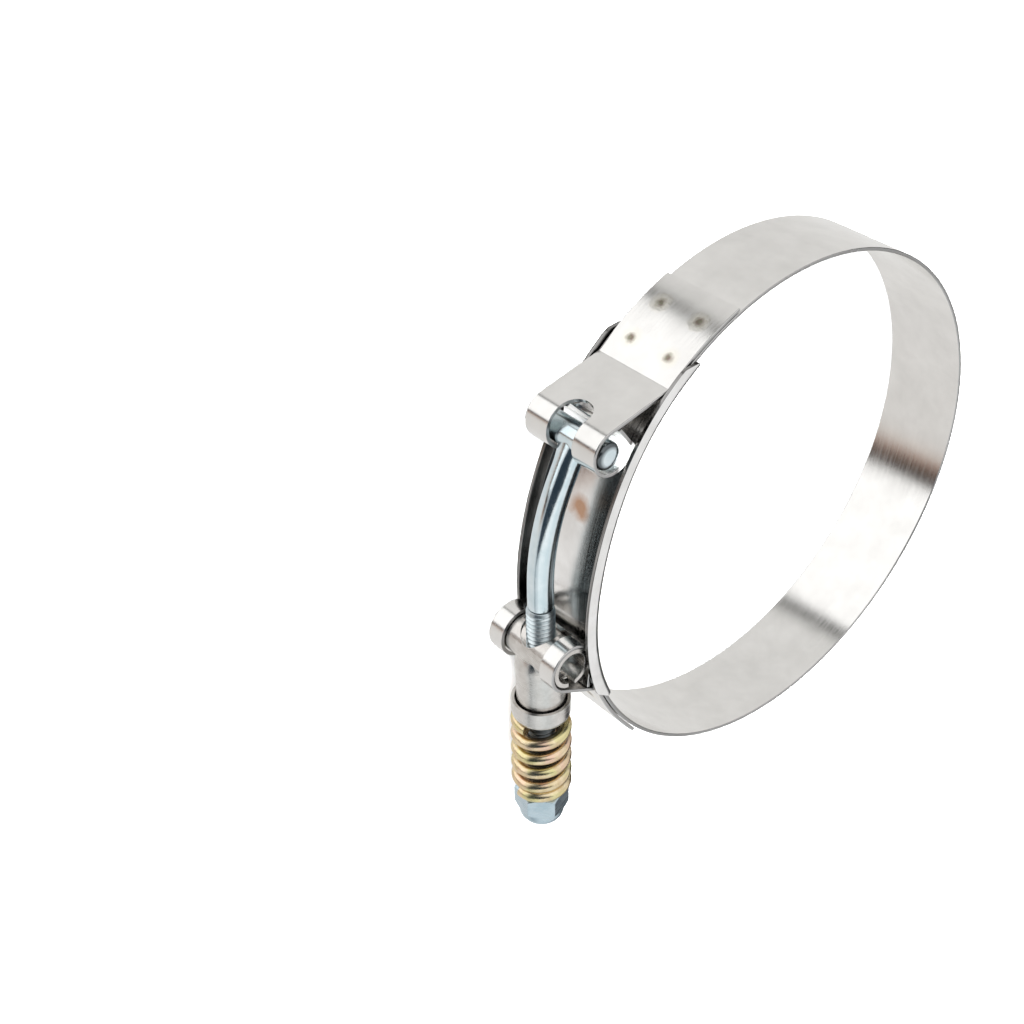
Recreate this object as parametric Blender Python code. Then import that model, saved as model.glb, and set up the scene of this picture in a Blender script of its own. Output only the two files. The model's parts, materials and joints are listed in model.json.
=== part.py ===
"""A spring-loaded T-bolt hose clamp, lying on its side.

The ring's axis is +Z. Inside the script the ring's centre is the origin and the
gap faces -Y, with the bolt's T-head at -X and its nut at +X. The last step moves
the whole clamp so that the origin is the middle of the base of its box.
"""
import math

import bmesh
import bpy
from mathutils import Matrix, Vector

MM = 0.001

# The band: a flat steel strip rolled into an open ring.
RING_INNER_DIAMETER = 111.6 * MM
BAND_WIDTH = 19.0 * MM
BAND_THICKNESS = 0.75 * MM
BAND_END_TUCK = 1.2 * MM
EDGE_BREAK = 0.12 * MM

# The two folded loops, welded on the outside of the band.
STRAP_THICKNESS = 0.75 * MM
FOLD_FROM_MIDLINE = 34.8 * MM
STRAP_LAP = 20.0 * MM
FOLD_INNER_RADIUS = 0.8 * MM
HEAD_LOOP_FROM_MIDLINE = 20.4 * MM
HEAD_LOOP_STANDOFF = 5.6 * MM
HEAD_LOOP_BORE = 8.5 * MM
HEAD_LOOP_WRAP = 196.0
HEAD_LOOP_TAIL = 2.0 * MM
HEAD_LOOP_CURL_RADIUS = 2.1 * MM
HEAD_LOOP_CURL = 97.0
HEAD_SLOT_WIDTH = 7.0 * MM
TRUNNION_FROM_MIDLINE = 24.2 * MM
TRUNNION_STANDOFF = 4.8 * MM
TRUNNION_LOOP_WRAP = 250.0
TRUNNION_SLOT_WIDTH = 11.4 * MM

# The bridge: a channel that closes the gap inside the band.
BRIDGE_THICKNESS = 0.75 * MM
BRIDGE_HEAD_END = 42.0 * MM
BRIDGE_NUT_END = 37.2 * MM
BRIDGE_TONGUE = 3.2 * MM
BRIDGE_DROP = 1.2 * MM
BRIDGE_FLANGE_HEIGHT = 3.5 * MM
BRIDGE_FILLET = 0.6 * MM

# The two cross pieces held in the loops.
CROSS_LENGTH = 18.4 * MM

# The T-bolt.
HEAD_DIAMETER = 5.7 * MM
SHANK_DIAMETER = 5.3 * MM
SHANK_ROOT_WIDTH = 6.6 * MM
SHANK_ROOT_LENGTH = 6.0 * MM
THREAD_DIAMETER = 6.0 * MM
THREAD_LENGTH = 57.0 * MM
THREAD_CHAMFER = 0.6 * MM
BOLT_BEND_RADIUS = 50.0 * MM
HEAD_END_FLATTER = 9.2
NUT_END_FLATTER = 10.1

# The trunnion: a folded cross tube with a neck that the bolt passes through.
TUBE_DIAMETER = 8.8 * MM
TUBE_WALL = 0.95 * MM
TUBE_SEAM = 1.6 * MM
NECK_DIAMETER = 10.1 * MM
NECK_BORE = 8.1 * MM
NECK_ROOT_FLARE = 0.5 * MM
NECK_LENGTH = 16.5 * MM
SLEEVE_RIM = 0.45 * MM
BOLT_PLAY = 0.65 * MM

# The spring cup, the spring and the lock nut.
CUP_DEPTH = 4.2 * MM
CUP_WALL = 0.65 * MM
CUP_FLOOR = 0.8 * MM
CUP_PLAY = 0.4 * MM
SPRING_OUTER_DIAMETER = 12.7 * MM
SPRING_WIRE = 2.7 * MM
SPRING_LENGTH = 20.6 * MM
SPRING_GROUND = 0.3 * MM
SPRING_TURNS = 5.05
SPRING_CUP_CLOSED_TURNS = 0.2
SPRING_NUT_CLOSED_TURNS = 1.05
SPRING_TIP_ANGLE = 167.0
NUT_FLATS = 10.0 * MM
NUT_FLAT_ANGLE = 12.0
NUT_HEX_HEIGHT = 5.0 * MM
NUT_COLLAR_HEIGHT = 3.0 * MM
NUT_COLLAR_DIAMETER = 9.6 * MM
NUT_LIP = 0.5 * MM
NUT_LIP_BORE = 7.0 * MM
INSERT_DIAMETER = 7.8 * MM
INSERT_HEIGHT = 2.2 * MM
BOLT_PROUD = 0.3 * MM

# Clearances between pieces.
SEAT_GAP = 0.3 * MM
LAP_GAP = 0.2 * MM
THREAD_GAP = 0.15 * MM
INSERT_GAP = 0.1 * MM

# How finely round forms are divided.
RING_STEP = 3.0
BEND_STEP = 12.0
ROUND_SIDES = 24
SPRING_SIDES = 10
SPRING_STEPS_PER_TURN = 22

BAND_INNER = RING_INNER_DIAMETER / 2
BAND_OUTER = BAND_INNER + BAND_THICKNESS
STRAP_MEAN = BAND_OUTER + LAP_GAP + STRAP_THICKNESS / 2
HALF_WIDTH = BAND_WIDTH / 2
CHANNEL_HALF = HALF_WIDTH + SEAT_GAP
BRIDGE_HALF = CHANNEL_HALF + BRIDGE_THICKNESS
BOLT_PASSAGE = THREAD_DIAMETER / 2 + BOLT_PLAY


def clear_scene():
    for item in list(bpy.data.objects):
        bpy.data.objects.remove(item, do_unlink=True)


def material(name, color, roughness, metallic):
    made = bpy.data.materials.new(name)
    made.use_nodes = True
    shader = made.node_tree.nodes["Principled BSDF"]
    shader.inputs["Base Color"].default_value = (*color, 1.0)
    shader.inputs["Roughness"].default_value = roughness
    shader.inputs["Metallic"].default_value = metallic
    return made


def angle_at(length):
    """The angle from the gap's midline of a point this far along the band."""
    return math.degrees(length / BAND_OUTER)


def on_ring(radius, degrees, side=1):
    """A point at an angle from the gap's midline, on the nut's side for side 1."""
    turn = math.radians(degrees)
    return Vector((side * radius * math.sin(turn), -radius * math.cos(turn)))


def direction(degrees):
    turn = math.radians(degrees)
    return Vector((math.cos(turn), math.sin(turn)))


def left_of(vector):
    return Vector((-vector.y, vector.x))


class Path:
    """A plane path of lines and arcs, kept as points with their headings."""

    def __init__(self, start, heading):
        self.point = start.copy()
        self.heading = heading
        self.stations = [(start.copy(), heading)]

    def line(self, length):
        self.point = self.point + direction(self.heading) * length
        self.stations.append((self.point.copy(), self.heading))

    def arc(self, radius, turn, step=BEND_STEP):
        """Turn left for a positive angle and right for a negative one."""
        side = 1 if turn > 0 else -1
        centre = self.point + left_of(direction(self.heading)) * radius * side
        steps = max(1, math.ceil(abs(turn) / step))
        start = self.heading
        for index in range(1, steps + 1):
            self.heading = start + turn * index / steps
            normal = left_of(direction(self.heading))
            self.point = centre - normal * radius * side
            self.stations.append((self.point.copy(), self.heading))


def loft(name, rings, closed=False):
    """Skin a row of rings into one closed body, capped unless it closes on itself."""
    mesh = bpy.data.meshes.new(name)
    work = bmesh.new()
    rows = [[work.verts.new(point) for point in ring] for ring in rings]
    pairs = list(zip(rows, rows[1:]))
    if closed:
        pairs.append((rows[-1], rows[0]))
    for near, far in pairs:
        for index in range(len(near)):
            after = (index + 1) % len(near)
            work.faces.new((near[index], near[after], far[after], far[index]))
    if not closed:
        work.faces.new(list(reversed(rows[0])))
        work.faces.new(rows[-1])
    bmesh.ops.recalc_face_normals(work, faces=work.faces)
    work.to_mesh(mesh)
    work.free()
    mesh.shade_smooth()
    mesh.set_sharp_from_angle(angle=math.radians(35))
    made = bpy.data.objects.new(name, mesh)
    bpy.context.scene.collection.objects.link(made)
    return made


def strip_section(thickness, half_width):
    """A sheet's section as (left offset, height) pairs, with its edges broken."""
    half = thickness / 2
    inset = EDGE_BREAK
    return [
        (half, half_width - inset), (half - inset, half_width),
        (inset - half, half_width), (-half, half_width - inset),
        (-half, inset - half_width), (inset - half, -half_width),
        (half - inset, -half_width), (half, inset - half_width),
    ]


def sweep(name, stations, section):
    """Carry a section of (left offset, height) pairs along a plane path."""
    rings = []
    for point, heading in stations:
        left = left_of(direction(heading))
        rings.append([(*(point + left * offset), height) for offset, height in section])
    return loft(name, rings)


def circle_ring(x, radius, sides, width=None):
    """A ring of points round the X axis, an ellipse when its width along Z differs."""
    width = radius if width is None else width
    turns = [2 * math.pi * (index + 0.5) / sides for index in range(sides)]
    return [Vector((x, radius * math.cos(t), width * math.sin(t))) for t in turns]


def lathe(name, profile, sides=32):
    """Turn a closed profile of (x, radius) pairs about the X axis."""
    return loft(name, [circle_ring(x, radius, sides) for x, radius in profile], closed=True)


def rod(name, profile, sides=32):
    """Turn an open profile of (x, radius) pairs into a solid rod along the X axis."""
    return loft(name, [circle_ring(x, radius, sides) for x, radius in profile])


def box(name, low, high):
    corners = [(low[0], y, z) for y, z in
               ((low[1], low[2]), (high[1], low[2]), (high[1], high[2]), (low[1], high[2]))]
    far = [(high[0], y, z) for _, y, z in corners]
    return loft(name, [corners, far])


def place(item, point, degrees):
    item.location = (point.x, point.y, 0)
    item.rotation_euler = (0, 0, math.radians(degrees))
    return item


def boolean(item, tool, operation):
    """Add, cut or keep what is shared with a hidden tool body."""
    change = item.modifiers.new(tool.name, "BOOLEAN")
    change.operation = operation
    change.object = tool
    change.solver = "EXACT"
    tool.hide_render = True
    tool.display_type = "WIRE"


def mirrored(stations):
    """The same path on the T-head's side of the gap."""
    return [(Vector((-point.x, point.y)), 180 - heading) for point, heading in stations]


def loop_centre(from_midline, standoff):
    return on_ring(BAND_OUTER + standoff, angle_at(from_midline))


def loop_path(centre, mean_radius, wrap, tail, curl_radius, curl):
    """A loop's centre line, from its lap on the band round its pin and back."""
    lap_end = angle_at(FOLD_FROM_MIDLINE + STRAP_LAP)
    fold = angle_at(FOLD_FROM_MIDLINE)
    start = on_ring(STRAP_MEAN, lap_end)
    path = Path(start, lap_end - 180)
    path.arc(STRAP_MEAN, fold - lap_end, RING_STEP)

    fold_radius = FOLD_INNER_RADIUS + STRAP_THICKNESS / 2
    fold_centre = path.point + left_of(direction(path.heading)) * fold_radius
    across = centre - fold_centre
    lean = math.degrees(math.asin((mean_radius + fold_radius) / across.length))
    leaf_heading = math.degrees(math.atan2(across.y, across.x)) + lean
    path.arc(fold_radius, leaf_heading - path.heading)
    leaf_start = path.point.copy()
    path.line(math.sqrt(across.length ** 2 - (mean_radius + fold_radius) ** 2))
    leaf_end = path.point.copy()

    path.arc(mean_radius, -wrap)
    if curl:
        path.line(tail)
        path.arc(curl_radius, -curl)
    meeting = math.radians(leaf_heading - path.heading)
    away = -(path.point - leaf_start).dot(left_of(direction(leaf_heading)))
    half = STRAP_THICKNESS / 2
    stop = half + LAP_GAP + half * abs(math.cos(meeting))
    path.line((away - stop) / abs(math.sin(meeting)))
    return path.stations, leaf_heading, leaf_end


def make_band():
    end = angle_at(FOLD_FROM_MIDLINE - BAND_END_TUCK)
    mean = BAND_INNER + BAND_THICKNESS / 2
    path = Path(on_ring(mean, end), end)
    path.arc(mean, 360 - 2 * end, RING_STEP)
    return sweep("band", path.stations, strip_section(BAND_THICKNESS, HALF_WIDTH))


def make_head_loop():
    centre = loop_centre(HEAD_LOOP_FROM_MIDLINE, HEAD_LOOP_STANDOFF)
    mean = HEAD_LOOP_BORE / 2 + STRAP_THICKNESS / 2
    stations, heading, leaf_end = loop_path(
        centre, mean, HEAD_LOOP_WRAP, HEAD_LOOP_TAIL, HEAD_LOOP_CURL_RADIUS, HEAD_LOOP_CURL)
    loop = sweep("head_loop", mirrored(stations), strip_section(STRAP_THICKNESS, HALF_WIDTH))

    arch = Vector((-leaf_end.x, leaf_end.y))
    along = 180 - heading
    boolean(loop, place(make_head_slot(), arch, along), "DIFFERENCE")
    return loop, Vector((-centre.x, centre.y))


def make_head_slot():
    """A slot through the whole loop, with a round end through the leaf alone."""
    half = HEAD_SLOT_WIDTH / 2
    depth = HEAD_LOOP_BORE + 4 * STRAP_THICKNESS
    turns = [math.pi / 2 + math.pi * index / 16 for index in range(17)]
    ends = [(depth, -half), (depth, half)]
    rounded = [(half * math.cos(t), half * math.sin(t)) for t in turns] + ends
    square = [(0, half * math.sin(t)) for t in turns] + ends
    under_leaf = 2 * STRAP_THICKNESS
    levels = [(-under_leaf, rounded), (under_leaf, rounded), (under_leaf, square), (depth, square)]
    return loft("head_slot", [[(x, y, z) for x, z in outline] for y, outline in levels])


def make_trunnion_loop(bolt_slope):
    centre = loop_centre(TRUNNION_FROM_MIDLINE, TRUNNION_STANDOFF)
    bore = TUBE_DIAMETER / 2 + SEAT_GAP
    mean = bore + STRAP_THICKNESS / 2
    stations, _, _ = loop_path(centre, mean, TRUNNION_LOOP_WRAP, 0, 0, 0)
    loop = sweep("trunnion_loop", stations, strip_section(STRAP_THICKNESS, HALF_WIDTH))

    half = TRUNNION_SLOT_WIDTH / 2
    reach = bore + 3 * STRAP_THICKNESS
    neck_hole = rod("neck_hole", [(SEAT_GAP, half), (3 * reach, half)])
    boolean(loop, place(neck_hole, centre, bolt_slope), "DIFFERENCE")
    outer_slot = box("outer_slot", (-reach, -reach, -half), (reach, 0, half))
    boolean(loop, place(outer_slot, centre, bolt_slope), "DIFFERENCE")
    below = BOLT_PASSAGE + SEAT_GAP
    bolt_slot = box("bolt_slot", (-reach, -SEAT_GAP, -half), (0, below, half))
    boolean(loop, place(bolt_slot, centre, bolt_slope), "DIFFERENCE")
    return loop


def bridge_floor(degrees):
    """The radius of the bridge's inner face: it drops inwards across the gap."""
    seated = BAND_INNER - SEAT_GAP - BRIDGE_THICKNESS
    fold = angle_at(FOLD_FROM_MIDLINE)
    share = min(1.0, abs(degrees) / fold)
    return seated - BRIDGE_DROP * (0.5 + 0.5 * math.cos(math.pi * share))


def bridge_section(height):
    """The channel's section, as (outward offset from the inner face, height) pairs."""
    wall = BRIDGE_THICKNESS
    outer = BRIDGE_FILLET + wall
    one_side = [(height, CHANNEL_HALF), (height, BRIDGE_HALF)]
    steps = 3
    for index in range(steps + 1):
        turn = math.pi / 2 * index / steps
        one_side.append((outer * (1 - math.sin(turn)), BRIDGE_HALF - outer * (1 - math.cos(turn))))
    floor_side = []
    for index in range(steps + 1):
        turn = math.pi / 2 * index / steps
        floor_side.append((wall + BRIDGE_FILLET * (1 - math.cos(turn)),
                           CHANNEL_HALF - BRIDGE_FILLET * (1 - math.sin(turn))))
    far_floor = [(out, -across) for out, across in reversed(floor_side)]
    far_side = [(out, -across) for out, across in reversed(one_side)]
    return one_side + far_side + far_floor + floor_side


def make_bridge():
    """Lofted along the gap; the flanges stop short of the floor's tongue at each end."""
    lowest = BRIDGE_THICKNESS + BRIDGE_FILLET + EDGE_BREAK
    ends = (-angle_at(BRIDGE_HEAD_END), angle_at(BRIDGE_NUT_END))
    steps = math.ceil((ends[1] - ends[0]) / RING_STEP) * 2
    rings = []
    for index in range(steps + 1):
        degrees = ends[0] + (ends[1] - ends[0]) * index / steps
        to_end = min(degrees - ends[0], ends[1] - degrees) / angle_at(BRIDGE_TONGUE)
        height = lowest + (BRIDGE_FLANGE_HEIGHT - lowest) * min(1.0, to_end)
        small = 0.01
        slope = (bridge_floor(degrees + small) - bridge_floor(degrees - small)) / 2
        face = bridge_floor(degrees)
        tilt = math.degrees(math.atan2(slope, face * math.radians(small)))
        point = on_ring(face, degrees)
        outward = on_ring(1, degrees - tilt)
        rings.append([(*(point + outward * out), across)
                      for out, across in bridge_section(height)])
    return loft("bridge", rings)


def bolt_path(head, head_slope, centre, nut_slope, end):
    """The bent bolt's centre line from its head to its end beyond the nut."""
    near, far = direction(-head_slope), direction(nut_slope)
    gap = centre - head
    crossing = near.x * far.y - near.y * far.x
    to_corner = (gap.x * far.y - gap.y * far.x) / crossing
    corner = head + near * to_corner
    turn = head_slope + nut_slope
    trim = BOLT_BEND_RADIUS * math.tan(math.radians(turn / 2))
    path = Path(head, -head_slope)
    straight = to_corner - trim
    for _ in range(3):
        path.line(SHANK_ROOT_LENGTH / 3)
    path.line(max(straight - SHANK_ROOT_LENGTH, SEAT_GAP))
    path.arc(BOLT_BEND_RADIUS, turn, 2.0)
    after_bend = (centre - corner).length - trim
    thread_from = after_bend + end - THREAD_LENGTH
    path.line(thread_from)
    path.line(SHANK_DIAMETER / 8)
    path.line(THREAD_LENGTH - SHANK_DIAMETER / 8 - THREAD_CHAMFER)
    path.line(THREAD_CHAMFER)
    return path.stations


def make_bolt(head, head_slope, centre, nut_slope, end):
    stations = bolt_path(head, head_slope, centre, nut_slope, end)
    shank, thread = SHANK_DIAMETER / 2, THREAD_DIAMETER / 2
    count = len(stations)
    rings = []
    for index, (point, heading) in enumerate(stations):
        radius = thread if index >= count - 3 else shank
        if index == count - 1:
            radius = thread - THREAD_CHAMFER
        ease = min(1.0, (point - head).length / SHANK_ROOT_LENGTH)
        root = (SHANK_ROOT_WIDTH / 2 - shank) * (0.5 + 0.5 * math.cos(math.pi * ease))
        left = left_of(direction(heading))
        ring = circle_ring(0, radius, ROUND_SIDES, radius + root)
        rings.append([(*(point + left * spot.y), spot.z) for spot in ring])
    bolt = loft("t_bolt", rings)
    half = CROSS_LENGTH / 2
    bevel = HEAD_DIAMETER / 12
    cross = rod("t_head", [(-half, HEAD_DIAMETER / 2 - bevel), (bevel - half, HEAD_DIAMETER / 2),
                           (half - bevel, HEAD_DIAMETER / 2), (half, HEAD_DIAMETER / 2 - bevel)],
                ROUND_SIDES + 4)
    cross.location = (head.x, head.y, 0)
    cross.rotation_euler = (0, math.radians(90), math.radians(4))
    boolean(bolt, cross, "UNION")
    return bolt


def neck_profile(radius, start, flare, end):
    """A neck's outline from its flared root in the cross tube to its end."""
    root = TUBE_DIAMETER / 2
    return [
        (start, radius - 0.22 * root), (0.35 * root, radius - 0.07 * root),
        (0.7 * root, radius + 0.4 * flare), (1.05 * root, radius + 0.55 * flare),
        (1.5 * root, radius + 0.25 * flare), (2.0 * root, radius), (end, radius),
    ]


def make_trunnion(centre, slope):
    """The cross tube and neck as one folded sheet: an outer body less its inside."""
    half = CROSS_LENGTH / 2
    tube = rod("trunnion", [(-half, TUBE_DIAMETER / 2), (half, TUBE_DIAMETER / 2)], 36)
    tube.location = (centre.x, centre.y, 0)
    tube.rotation_euler = (0, math.radians(90), math.radians(slope))
    neck = rod("neck", neck_profile(NECK_DIAMETER / 2, 0, NECK_ROOT_FLARE, NECK_LENGTH))
    boolean(tube, place(neck, centre, slope), "UNION")

    inside = rod("tube_bore", [(-half - SEAT_GAP, TUBE_DIAMETER / 2 - TUBE_WALL),
                               (half + SEAT_GAP, TUBE_DIAMETER / 2 - TUBE_WALL)], 36)
    inside.location = tube.location
    inside.rotation_euler = tube.rotation_euler
    boolean(tube, inside, "DIFFERENCE")
    neck_bore = rod("neck_bore", neck_profile(NECK_BORE / 2, 0, 0, NECK_LENGTH + SEAT_GAP))
    boolean(tube, place(neck_bore, centre, slope), "DIFFERENCE")
    sleeve_hole = TUBE_DIAMETER / 2 - SLEEVE_RIM
    hole = rod("bolt_hole", [(-TUBE_DIAMETER, sleeve_hole), (0, sleeve_hole)])
    boolean(tube, place(hole, centre, slope), "DIFFERENCE")
    for side in (-1, 1):
        inner, outer = NECK_DIAMETER / 2 + NECK_ROOT_FLARE, half + SEAT_GAP
        heights = sorted((side * inner, side * outer))
        seam = box("seam", (TUBE_DIAMETER / 4, -TUBE_SEAM / 2, heights[0]),
                   (TUBE_DIAMETER, TUBE_SEAM / 2, heights[1]))
        boolean(tube, place(seam, centre, slope), "DIFFERENCE")
    return tube


def make_cup(floor_outside):
    """A drawn cup, open towards the trunnion, whose floor the bolt passes through."""
    inner = NECK_DIAMETER / 2 + CUP_PLAY
    outer = inner + CUP_WALL
    rim = floor_outside - CUP_DEPTH
    inside = floor_outside - CUP_FLOOR
    return lathe("spring_cup", [
        (rim, inner), (rim, outer), (floor_outside - CUP_FLOOR, outer),
        (floor_outside - CUP_FLOOR / 4, outer - CUP_FLOOR / 4),
        (floor_outside, outer - CUP_FLOOR), (floor_outside, BOLT_PASSAGE),
        (inside, BOLT_PASSAGE), (inside, inner - CUP_WALL / 2), (inside - CUP_WALL / 2, inner),
    ], 40)


def spring_travel(turn):
    """How far along the spring its wire is after so many turns; its ends are closed."""
    closed_turns = SPRING_CUP_CLOSED_TURNS + SPRING_NUT_CLOSED_TURNS
    height = SPRING_LENGTH + 2 * SPRING_GROUND - SPRING_WIRE
    open_pitch = (height - closed_turns * SPRING_WIRE) / (SPRING_TURNS - closed_turns)
    last_open = SPRING_TURNS - SPRING_NUT_CLOSED_TURNS
    closed = min(turn, SPRING_CUP_CLOSED_TURNS) + max(0, turn - last_open)
    return closed * SPRING_WIRE + (turn - closed) * open_pitch


def make_spring(start):
    """A round wire wound into a helix, with both ends ground flat."""
    mean = (SPRING_OUTER_DIAMETER - SPRING_WIRE) / 2
    steps = math.ceil(SPRING_TURNS * SPRING_STEPS_PER_TURN)
    middle = start - SPRING_GROUND + SPRING_WIRE / 2
    rings = []
    for index in range(steps + 1):
        turn = SPRING_TURNS * index / steps
        angle = math.radians(SPRING_TIP_ANGLE) + 2 * math.pi * turn
        outward = Vector((0, math.cos(angle), math.sin(angle)))
        centre = Vector((middle + spring_travel(turn), 0, 0)) + outward * mean
        ring = []
        for corner in range(SPRING_SIDES):
            around = 2 * math.pi * (corner + 0.5) / SPRING_SIDES
            spot = outward * math.cos(around) + Vector((math.sin(around), 0, 0))
            point = centre + spot * SPRING_WIRE / 2
            point.x = min(max(point.x, start), start + SPRING_LENGTH)
            ring.append(point)
        rings.append(ring)
    return loft("spring", rings)


def hexagon_radius(angle):
    """The hexagon's radius at an angle round the bolt."""
    sector = math.pi / 3
    from_flat = angle - math.radians(NUT_FLAT_ANGLE)
    return NUT_FLATS / 2 / math.cos((from_flat + sector / 2) % sector - sector / 2)


def make_nut(start):
    """A hexagon with chamfered corners, a round collar and a groove for its insert."""
    corner = NUT_FLATS / math.sqrt(3)
    chamfer = corner - NUT_FLATS / 2
    hex_end = start + NUT_HEX_HEIGHT
    end = hex_end + NUT_COLLAR_HEIGHT
    collar = NUT_COLLAR_DIAMETER / 2
    bore = THREAD_DIAMETER / 2 + THREAD_GAP
    groove = INSERT_DIAMETER / 2 + INSERT_GAP
    groove_end = end - NUT_LIP
    groove_start = groove_end - INSERT_HEIGHT - 2 * INSERT_GAP
    profile = [
        (start, NUT_FLATS / 2), (start + chamfer / 2, corner), (hex_end - chamfer / 2, corner),
        (hex_end, NUT_FLATS / 2), (hex_end, collar), (end - 2.4 * NUT_LIP, collar - 0.2 * NUT_LIP),
        (end - 1.2 * NUT_LIP, collar - 0.6 * NUT_LIP), (end - 0.4 * NUT_LIP, collar - 1.2 * NUT_LIP),
        (end, collar - 1.8 * NUT_LIP),
        (end, NUT_LIP_BORE / 2), (groove_end, NUT_LIP_BORE / 2), (groove_end, groove),
        (groove_start, groove), (groove_start, bore), (start, bore),
    ]
    sides = 48
    rings = []
    for x, radius in profile:
        ring = []
        for index in range(sides):
            angle = math.radians(NUT_FLAT_ANGLE) + 2 * math.pi * index / sides
            reach = min(radius, hexagon_radius(angle))
            ring.append(Vector((x, reach * math.cos(angle), reach * math.sin(angle))))
        rings.append(ring)
    insert_start = groove_start + INSERT_GAP
    insert = lathe("nut_insert", [
        (insert_start, bore), (insert_start, INSERT_DIAMETER / 2),
        (insert_start + INSERT_HEIGHT, INSERT_DIAMETER / 2), (insert_start + INSERT_HEIGHT, bore)])
    return loft("nut", rings, closed=True), insert


def finish_at_base():
    """Move every object so that the box's base is centred on the origin."""
    bpy.context.view_layer.update()
    depsgraph = bpy.context.evaluated_depsgraph_get()
    low, high = Vector((1e9,) * 3), Vector((-1e9,) * 3)
    for item in bpy.data.objects:
        if item.type != "MESH" or item.hide_render:
            continue
        shaped = item.evaluated_get(depsgraph)
        for vertex in shaped.data.vertices:
            spot = shaped.matrix_world @ vertex.co
            low = Vector(map(min, low, spot))
            high = Vector(map(max, high, spot))
    shift = Matrix.Translation((-(low.x + high.x) / 2, -(low.y + high.y) / 2, -low.z))
    for item in bpy.data.objects:
        item.matrix_world = shift @ item.matrix_world
    return shift.translation


def main():
    clear_scene()
    band_steel = material("band_steel", (0.74, 0.73, 0.71), 0.28, 1.0)
    polished_steel = material("polished_steel", (0.66, 0.66, 0.65), 0.15, 1.0)
    zinc_plate = material("zinc_plate", (0.72, 0.79, 0.82), 0.22, 1.0)
    yellow_zinc = material("yellow_zinc", (0.83, 0.66, 0.38), 0.25, 1.0)
    nylon = material("nylon", (0.85, 0.87, 0.88), 0.45, 0.0)

    centre = loop_centre(TRUNNION_FROM_MIDLINE, TRUNNION_STANDOFF)
    nut_slope = angle_at(TRUNNION_FROM_MIDLINE) - NUT_END_FLATTER
    head_slope = angle_at(HEAD_LOOP_FROM_MIDLINE) - HEAD_END_FLATTER
    cup_floor = NECK_LENGTH + SEAT_GAP + CUP_FLOOR
    spring_start = cup_floor + SEAT_GAP
    nut_start = spring_start + SPRING_LENGTH + SEAT_GAP
    bolt_end = nut_start + NUT_HEX_HEIGHT + NUT_COLLAR_HEIGHT + BOLT_PROUD

    made = {"band": (make_band(), band_steel)}
    head_loop, loop_middle = make_head_loop()
    made["head_loop"] = (head_loop, band_steel)
    made["trunnion_loop"] = (make_trunnion_loop(nut_slope), band_steel)
    made["bridge"] = (make_bridge(), polished_steel)
    pulled = (HEAD_LOOP_BORE - HEAD_DIAMETER) / 2 - SEAT_GAP
    head = loop_middle + direction(-head_slope) * pulled
    bolt = make_bolt(head, head_slope, centre, nut_slope, bolt_end)
    made["t_bolt"] = (bolt, zinc_plate)
    made["trunnion"] = (make_trunnion(centre, nut_slope), polished_steel)
    made["spring_cup"] = (place(make_cup(cup_floor), centre, nut_slope), polished_steel)
    made["spring"] = (place(make_spring(spring_start), centre, nut_slope), yellow_zinc)
    nut, insert = make_nut(nut_start)
    made["nut"] = (place(nut, centre, nut_slope), zinc_plate)
    made["nut_insert"] = (place(insert, centre, nut_slope), nylon)
    for item, finish in made.values():
        item.data.materials.append(finish)

    shift = finish_at_base()
    print("ring centre at", [round(value / MM, 3) for value in shift])
    print("T-head axis at", [round(value / MM, 3) for value in shift.xy + head])
    print("trunnion axis at", [round(value / MM, 3) for value in shift.xy + centre])
    print("bolt runs at", round(nut_slope, 3), "degrees to +X")


main()
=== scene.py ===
# %% [markdown]
# # A spring-loaded T-bolt hose clamp, lying on its side
#
# This clamp closes a hose: a nut draws a bent bolt through a trunnion, and that
# pulls the two ends of a steel band together over a bridge. A spring keeps the
# pull when the hose shrinks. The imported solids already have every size, so they
# serve as the frame, and each piece made here sits where its solid is and rides
# on the same body. Lengths are in metres, and the ring's axis is +Z.

# %% Load the frame
import json
import math

import bmesh
import bpy
from mathutils import Matrix, Vector


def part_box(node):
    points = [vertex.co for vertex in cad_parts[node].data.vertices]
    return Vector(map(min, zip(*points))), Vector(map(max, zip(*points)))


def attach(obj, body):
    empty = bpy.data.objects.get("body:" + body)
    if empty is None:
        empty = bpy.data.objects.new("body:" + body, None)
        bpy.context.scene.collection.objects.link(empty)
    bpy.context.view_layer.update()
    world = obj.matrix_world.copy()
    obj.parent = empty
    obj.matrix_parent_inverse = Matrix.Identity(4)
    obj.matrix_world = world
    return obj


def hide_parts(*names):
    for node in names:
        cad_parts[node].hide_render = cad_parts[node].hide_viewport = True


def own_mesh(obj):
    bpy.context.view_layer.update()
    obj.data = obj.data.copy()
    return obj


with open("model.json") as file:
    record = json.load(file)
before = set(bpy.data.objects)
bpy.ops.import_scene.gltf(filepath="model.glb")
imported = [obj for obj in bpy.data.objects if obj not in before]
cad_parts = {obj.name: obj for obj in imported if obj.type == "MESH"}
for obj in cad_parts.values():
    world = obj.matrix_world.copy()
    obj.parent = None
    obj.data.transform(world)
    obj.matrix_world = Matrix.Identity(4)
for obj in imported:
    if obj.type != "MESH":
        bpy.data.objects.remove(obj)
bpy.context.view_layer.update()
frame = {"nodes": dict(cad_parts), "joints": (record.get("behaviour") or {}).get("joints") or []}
joints = {joint["name"]: joint for joint in frame["joints"]}

# %% [markdown]
# ## Where things are
#
# The nut, spring and thread all lie on the bolt's straight end, which runs askew
# to the ring. They could be modelled askew, point by point. It is easier to take
# the two hinge axes and the bolt's direction from the frame once, and to build a
# local frame along the bolt, whose X axis runs from the trunnion to the nut.

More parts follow.
